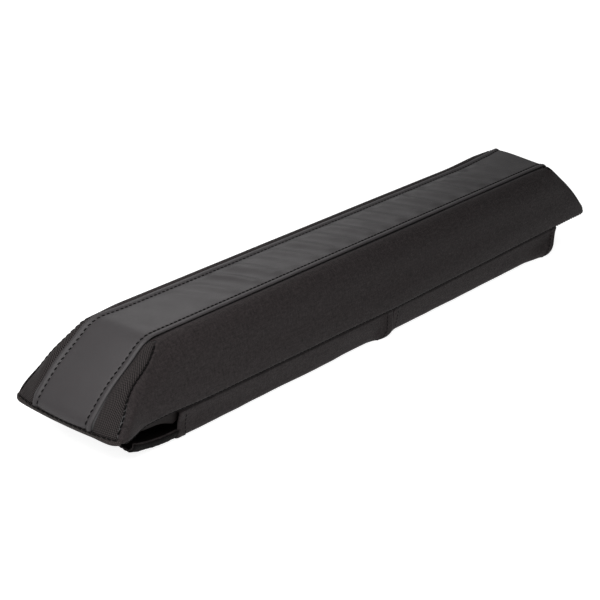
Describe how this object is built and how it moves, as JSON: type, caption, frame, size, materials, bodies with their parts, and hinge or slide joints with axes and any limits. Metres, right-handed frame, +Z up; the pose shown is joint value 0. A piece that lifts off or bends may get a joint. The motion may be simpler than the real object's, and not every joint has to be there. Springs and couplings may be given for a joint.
{
  "type": "roof rack pad",
  "caption": "Long foam pad in a sewn cover with sloped ends and sides; hook-and-loop flaps wrap a roof rack crossbar so that boards rest on the pad.",
  "frame": {"origin": "on the ground under the middle of the pad, at the bottom centre of its bounding box", "axes": "+Z up; +X along the pad, to the right as seen from the near side with the two short flaps; +Y across it, towards the side of the one long flap"},
  "size_m": [0.7612, 0.1196, 0.0942],
  "materials": {
    "coated_top": "smooth coated cloth, satin",
    "woven_side": "fine woven polyester, matt",
    "coarse_gusset": "coarse woven polyester, matt",
    "binding": "folded woven edge, matt",
    "woven_flap": "fine woven polyester, matt outside, coated inside",
    "lining": "coated lining, slight gloss",
    "hook_loop_tape": "hook-and-loop pile, matt",
    "foam": "closed-cell foam, matt"
  },
  "bodies": {
    "root": {"foam_core": "foam", "base_panel": "lining", "top_panel": "coated_top", "near_top_welt": "coated_top", "far_top_welt": "coated_top", "near_side_panel": "woven_side", "far_side_panel": "woven_side", "near_left_gusset": "coarse_gusset", "near_right_gusset": "coarse_gusset", "far_left_gusset": "coarse_gusset", "far_right_gusset": "coarse_gusset", "left_end_binding": "binding", "right_end_binding": "binding", "near_left_flap": "woven_flap", "near_right_flap": "woven_flap", "far_flap": "woven_flap", "near_left_tape": "hook_loop_tape", "near_right_tape": "hook_loop_tape", "far_tape": "hook_loop_tape"}
  },
  "joints": []
}
